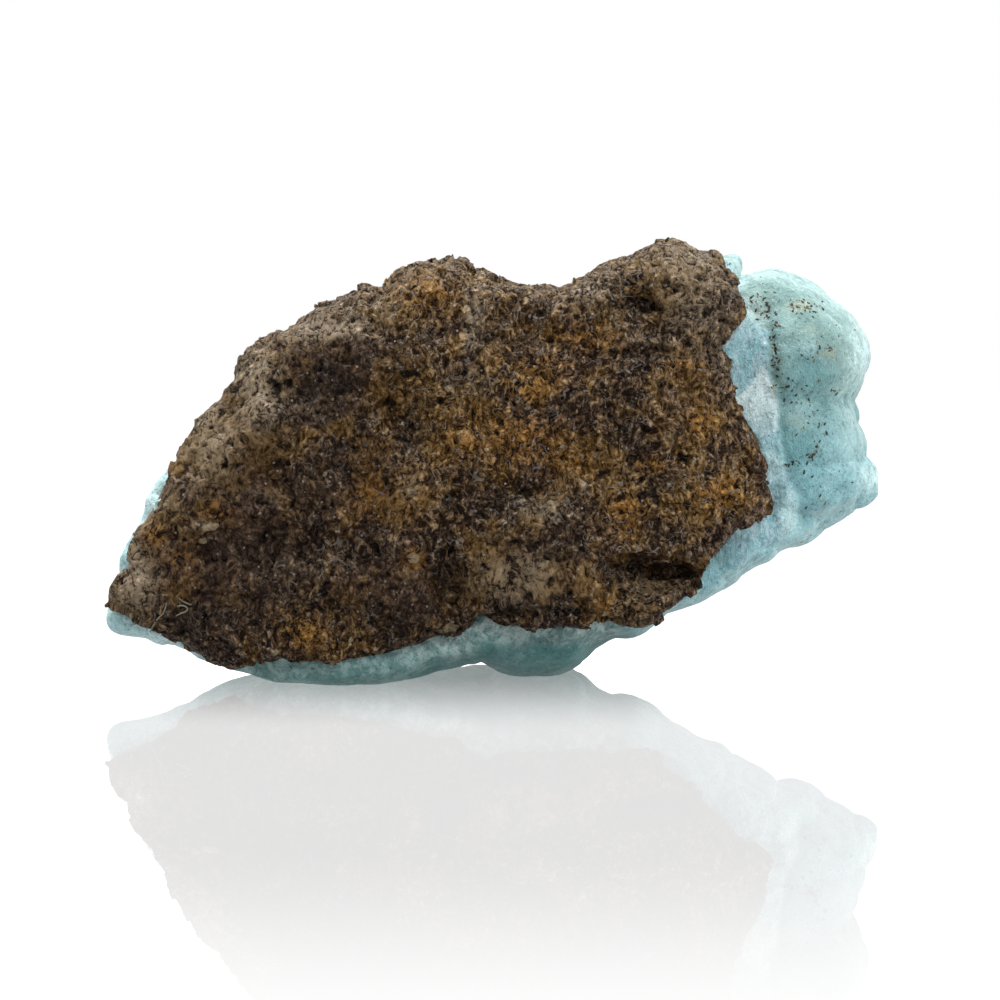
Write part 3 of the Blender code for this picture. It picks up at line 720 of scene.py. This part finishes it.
class STONE_OT_crust(bpy.types.Operator):
    """Makes the blue crust over its CAD node, grown tight against the matrix rock"""

    bl_idname = "stone.crust"
    bl_label = "Hemimorphite crust"

    def execute(self, context):
        settings = context.scene.stone.crust
        bm = refined_copy("hemimorphite_crust", "matrix_rock", settings.edge, 0.6, 4)
        points, normals = places_of(bm)
        shown = 1 - seats_of(bm)
        tree = surface_tree("matrix_rock_surface")
        free = smoothstep(0.35, 1.1, np.array([tree.find_nearest(p)[3] for p in points])) * shown
        x, depth, height = to_picture(points)
        facing = smoothstep(0.1, 0.5, -(normals @ np.array(SIGHT)))
        points = points - np.array(SIGHT) * (forward(x, height, CRUST_FORMS) * facing * free)[:, None]
        move_to(bm, swell(points, CRUST_SWELLS, free))
        points, normals = places_of(bm)
        x, depth, height = to_picture(points)
        edge_heights, edge_x = np.array(BAND_EDGE).T
        wander = fractal(points, 0.8, 4, 11)
        from_edge = x - np.interp(height, edge_heights, edge_x) + wander * 0.15
        near_rock = smoothstep(4.0, 7.0, height) * (x > 8) * (depth < 1.5)
        band = (1 - smoothstep(-0.1, 0.1, from_edge)) * near_rock
        groove = np.exp(-(((from_edge - 0.1) / 0.3) ** 2)) * near_rock
        lobes = np.array([noise.voronoi(Vector(p) / 1.7)[0][0] for p in points + wander[:, None] * 0.15])
        domes = (np.sqrt(np.clip(1.1 - lobes**2, 0, 2)) - 0.85) * settings.lobes / 0.2 * (1 + 2 * smoothstep(1, 5, depth))
        chips, _, _ = facets(points, 0.9, 13)
        rise = domes * (1 - band) + chips * settings.chips * band - groove * settings.groove + settings.regain
        points = points + normals * (rise * shown)[:, None]
        skirt = np.empty(len(points))
        open_edge = cover(x, height, FREE_PATCHES, 2) * shown
        for i, point in enumerate(points):
            place, normal, _, away = tree.find_nearest(point)
            skirt[i] = away
            pull = (1 - min(1.0, max(0.0, (away - 0.45) / 0.4))) * (1 - open_edge[i])
            if pull > 0:
                points[i] += (np.array(place - normal * 0.08) - point) * pull
        move_to(bm, points)
        # Painted rim light: paler where the surface turns away from the front
        painted_rim_light = 1 - smoothstep(0.2, 0.75, -(places_of(bm)[1] @ np.array(SIGHT)))
        right = smoothstep(6, 10, x) * (1 - smoothstep(2.5, 5.0, depth))
        attributes = {
            "band": band,
            "low": 1 - smoothstep(9, 18, height),
            # foot: darker teal, and painted shade on the underside
            "foot": (1 - right) * smoothstep(-17, -13, x) * (1 - smoothstep(3.0, 6.0, height)),
            "white": inside(x, height, WHITE_FACET) * right * (0.4 + 0.6 * smoothstep(12.8, 15.4, height)),
            "deep": np.maximum(cover(x, height, BLUE_AND_VALLEY_SHADE_PATCHES), inside(x, height, BLUE_FACET) * 0.12) * right,
            "pale": np.maximum(cover(x, height, MILKY_AND_RIM_LIGHT_PATCHES), painted_rim_light * right * 0.5) * (1 - smoothstep(3.0, 6.0, depth)),
            "stain": cover(x, height, STAIN_PATCHES) * right,
            "skirt": (1 - smoothstep(0.3, 1.6, skirt)) * (1 - right) * (0.5 + 0.5 * smoothstep(-6, -1, x)),
        }
        finish = crust_material(settings)
        finish_piece("hemimorphite_crust_surface", bm, finish, attributes, ["hemimorphite_crust"])
        return {"FINISHED"}


class STONE_OT_flakes(bpy.types.Operator):
    """Makes the flakes and grains that stand out of the matrix rock"""

    bl_idname = "stone.flakes"
    bl_label = "Flakes and grains"

    def execute(self, context):
        settings = context.scene.stone.grains
        random.seed(settings.seed)
        rock = bpy.data.objects["matrix_rock_surface"]
        mesh = rock.data
        hidden = mesh.attributes["seat"].data
        faces = [p for p in mesh.polygons if hidden[p.vertices[0]].value < 0.01]
        # Few where the surface is seen edge on, so that the outline stays smooth
        shares = [p.area * (0.15 + min(1.0, abs(p.normal.dot(SIGHT)) * 1.2) ** 3) for p in faces]
        chosen = random.choices(faces, shares, k=settings.flakes)
        matrices = []
        tones = []
        calm = mesh.attributes["calm"].data
        for face in chosen:
            scale = 1 - 0.4 * calm[face.vertices[0]].value
            length = random.uniform(0.12, 0.42) * scale
            sizes = (length, length * random.uniform(0.25, 0.6), random.uniform(0.05, 0.12) * scale)
            tilt = (random.gauss(0, 0.15), random.gauss(0, 0.15))
            matrices.append(seated(face.center / MM, face.normal, sizes, random.uniform(0, math.tau), tilt, 0.03))
            tones.append(random.uniform(0.0, 0.8))
        tree = surface_tree("matrix_rock_surface")
        for x, height, half_width, half_height, turn, tone in GRAINS:
            place, _ = seen(tree, x, height)
            sizes = (half_width, half_height, min(half_width, half_height) * 0.7)
            matrices.append(seated(place, -SIGHT, sizes, math.radians(turn), (0, 0), 0.02))
            tones.append(tone)
        bm = blobs(matrices)
        for vertex in bm.verts:
            vertex.co += noise.noise_vector(vertex.co / MM * 4) * 0.03 * MM
        attributes = rock_zones(*places_of(bm))
        attributes["tone"] = np.repeat(tones, BALL_VERTICES)
        count = BALL_VERTICES * len(GRAINS)
        attributes["pale"] = np.zeros(len(bm.verts))
        attributes["pale"][-count:] = attributes["tone"][-count:]
        finish_piece("rock_flakes", bm, mesh.materials[0], attributes, smooth=False)
        return {"FINISHED"}


class STONE_OT_specks(bpy.types.Operator):
    """Makes the dark specks in the crust's valleys"""

    bl_idname = "stone.specks"
    bl_label = "Dark specks"

    def execute(self, context):
        settings = context.scene.stone.grains
        random.seed(settings.seed + 1)
        tree = surface_tree("hemimorphite_crust_surface")
        matrices = []
        for x, height, half_width, half_height, count in SPECK_CLUSTERS:
            for _ in range(count):
                place, normal = seen(tree, random.gauss(x, half_width), random.gauss(height, half_height))
                if place is None:
                    continue
                length = settings.speck * random.uniform(0.35, 1.0)
                sizes = (length, length * random.uniform(0.3, 0.7), length * 0.4)
                matrices.append(seated(place, normal, sizes, random.uniform(0, math.tau)))
        made, n, shader = new_material("dark_specks")
        mottle = n.band(n.noise(n.places(), 0.3, 2.0), 0.52, 0.68)
        n.put(shader.inputs["Base Color"], n.mix(mottle, settings.speck_colour, context.scene.stone.crust.stain))
        shader.inputs["Roughness"].default_value = 0.4
        finish_piece("dark_specks", blobs(matrices), made, smooth=False)
        return {"FINISHED"}


class STONE_OT_lint(bpy.types.Operator):
    """Makes the fibres of lint that lie on the matrix rock"""

    bl_idname = "stone.lint"
    bl_label = "Lint"

    def execute(self, context):
        settings = context.scene.stone.grains
        tree = surface_tree("matrix_rock_surface")
        curves = bpy.data.curves.new("lint", "CURVE")
        curves.dimensions = "3D"
        curves.bevel_depth = settings.lint * MM
        curves.bevel_resolution = 1
        curves.use_fill_caps = True
        for fibre in LINT:
            spline = curves.splines.new("NURBS")
            spline.points.add(len(fibre) - 1)
            depth = 0.0
            for point, (x, height) in zip(spline.points, fibre):
                place, _ = seen(tree, x, height)
                if place:
                    depth = to_picture(np.array([place]))[1][0] - 2 * settings.lint
                point.co = (*to_frame(x, depth, height), 1)
            spline.order_u = 3
            spline.use_endpoint_u = True
        drawn = bpy.data.objects.new("lint", curves)
        bm = bmesh.new()
        bm.from_mesh(drawn.to_mesh())
        bmesh.ops.remove_doubles(bm, verts=bm.verts, dist=WELD)
        bmesh.ops.recalc_face_normals(bm, faces=bm.faces)
        drawn.to_mesh_clear()
        bpy.data.objects.remove(drawn)
        made, n, shader = new_material("lint")
        n.put(shader.inputs["Base Color"], n.scaled(settings.lint_colour, n.noise(n.places(), 0.4, 2.0)))
        shader.inputs["Roughness"].default_value = 0.9
        finish_piece("lint_fibres", bm, made)
        return {"FINISHED"}


class STONE_OT_studio(bpy.types.Operator):
    """Makes the pale floor, the soft lights and the camera"""

    bl_idname = "stone.studio"
    bl_label = "Studio"

    def execute(self, context):
        scene = context.scene
        settings = scene.stone.studio
        self.add_floor(scene)
        self.add_surroundings(scene, settings.sky)
        self.add_light(scene, "top_light", (-0.06, 0.10, 0.45), (0.35, 0.35), settings.top)
        self.add_light(scene, "front_light", (0.22, -0.45, 0.42), (0.16, 0.16), settings.front)
        self.add_light(scene, "back_light", (0, 0.9, 0.30), (1.6, 0.6), settings.back)
        self.add_light(scene, "left_light", (-0.6, 0.12, 0.16), (0.4, 0.3), settings.side)
        self.add_light(scene, "right_light", (0.6, 0.0, 0.14), (0.4, 0.3), settings.side * 1.2)
        camera = bpy.data.objects.new("camera", bpy.data.cameras.new("camera"))
        camera.data.sensor_width = SENSOR_WIDTH
        camera.data.lens = SENSOR_WIDTH * CAMERA_DISTANCE / PICTURE_WIDTH
        camera.data.clip_end = 10
        x, height = PICTURE_CENTRE
        camera.location = to_frame(x, -CAMERA_DISTANCE, height)
        camera.rotation_euler = (math.pi / 2 - SIGHT_TILT, 0, 0)
        scene.collection.objects.link(camera)
        scene.camera = camera
        scene.view_settings.view_transform = "Standard"
        return {"FINISHED"}

    def add_floor(self, scene):
        """A glossy white floor, whose mirror image of the stone fades with distance."""
        bm = bmesh.new()
        bmesh.ops.create_circle(bm, cap_ends=True, segments=64, radius=4.0)
        mesh = bpy.data.meshes.new("floor")
        bm.to_mesh(mesh)
        bm.free()
        floor = bpy.data.objects.new("floor", mesh)
        scene.collection.objects.link(floor)
        made, n, shader = new_material("pale_floor")
        made.node_tree.nodes.remove(shader)
        seen_directly = n.add("ShaderNodeLightPath").outputs["Is Camera Ray"]
        place = n.add("ShaderNodeTexCoord").outputs["Object"]
        away = n.add("ShaderNodeVectorMath", {0: place}, operation="LENGTH").outputs["Value"]
        squeezed = n.vector("MULTIPLY", place, (0.25, 1.0, 1.0))
        ahead = n.add("ShaderNodeVectorMath", {0: squeezed}, operation="LENGTH").outputs["Value"]
        # The floor's glow as a light for the stone holds a painted shadow: half as bright under the stone, full 3 cm
        # away
        shaded = n.band(away, 0.0, 0.03, BOUNCED * 0.5, BOUNCED)
        glow = n.math("MAXIMUM", seen_directly, shaded)
        pale = n.add("ShaderNodeEmission", {"Color": (1, 1, 1), "Strength": glow})
        mirror = n.add("ShaderNodeBsdfGlossy", {"Color": (1, 1, 1), "Roughness": 0.0})
        fade = n.total((n.band(ahead, 0.06, 0.12, 0.56, 0.0), 1.0), (n.band(ahead, 0.0, 0.022, 1.2, 0.0), 1.0))
        fresnel = n.add("ShaderNodeFresnel", {"IOR": 1.5}).outputs[0]
        share = n.math("MULTIPLY", n.math("MULTIPLY", fade, fresnel), seen_directly)
        both = n.add("ShaderNodeMixShader", {0: share, 1: pale.outputs[0], 2: mirror.outputs[0]})
        n.put(made.node_tree.nodes["Material Output"].inputs[0], both.outputs[0])
        made.cycles.emission_sampling = "NONE"
        mesh.materials.append(made)

    def add_surroundings(self, scene, strength):
        """White to the camera and in the floor's mirror, and dimmer as a light, so that the stone keeps its shading."""
        world = bpy.data.worlds.new("white_room")
        world.use_nodes = True
        n = Nodes(world.node_tree)
        path = n.add("ShaderNodeLightPath")
        background = world.node_tree.nodes["Background"]
        background.inputs["Color"].default_value = (1, 1, 1, 1)
        white = n.math("MAXIMUM", path.outputs["Is Camera Ray"], path.outputs["Is Singular Ray"])
        n.put(background.inputs["Strength"], n.math("MAXIMUM", white, strength))
        scene.world = world

    def add_light(self, scene, name, place, size, power):
        lamp = bpy.data.lights.new(name, "AREA")
        lamp.shape = "RECTANGLE"
        lamp.size, lamp.size_y = size
        lamp.energy = power
        made = bpy.data.objects.new(name, lamp)
        made.location = place
        made.rotation_euler = (Vector((0, 0, 0.01)) - Vector(place)).to_track_quat("-Z", "Y").to_euler()
        made.visible_camera = False
        scene.collection.objects.link(made)


class STONE_PT_panel(bpy.types.Panel):
    """Lists the operators that make the stone"""

    bl_label = "Rough hemimorphite"
    bl_idname = "STONE_PT_panel"
    bl_space_type = "VIEW_3D"
    bl_region_type = "UI"
    bl_category = "Stone"

    def draw(self, context):
        for operator in OPERATORS:
            self.layout.operator(operator.bl_idname)


OPERATORS = (STONE_OT_matrix, STONE_OT_crust, STONE_OT_flakes, STONE_OT_specks, STONE_OT_lint, STONE_OT_studio)
GROUPS = (RockSettings, CrustSettings, GrainSettings, StudioSettings, StoneSettings)
CLASSES = (*GROUPS, *OPERATORS, STONE_PT_panel)


def register():
    for each in CLASSES:
        bpy.utils.register_class(each)
    bpy.types.Scene.stone = PointerProperty(name="Stone", description="Sizes and colours", type=StoneSettings)


def unregister():
    del bpy.types.Scene.stone
    for each in reversed(CLASSES):
        bpy.utils.unregister_class(each)


def main():
    register()
    bpy.ops.stone.matrix()
    bpy.ops.stone.crust()
    bpy.ops.stone.flakes()
    bpy.ops.stone.specks()
    bpy.ops.stone.lint()
    bpy.ops.stone.studio()


if __name__ == "__main__":
    main()
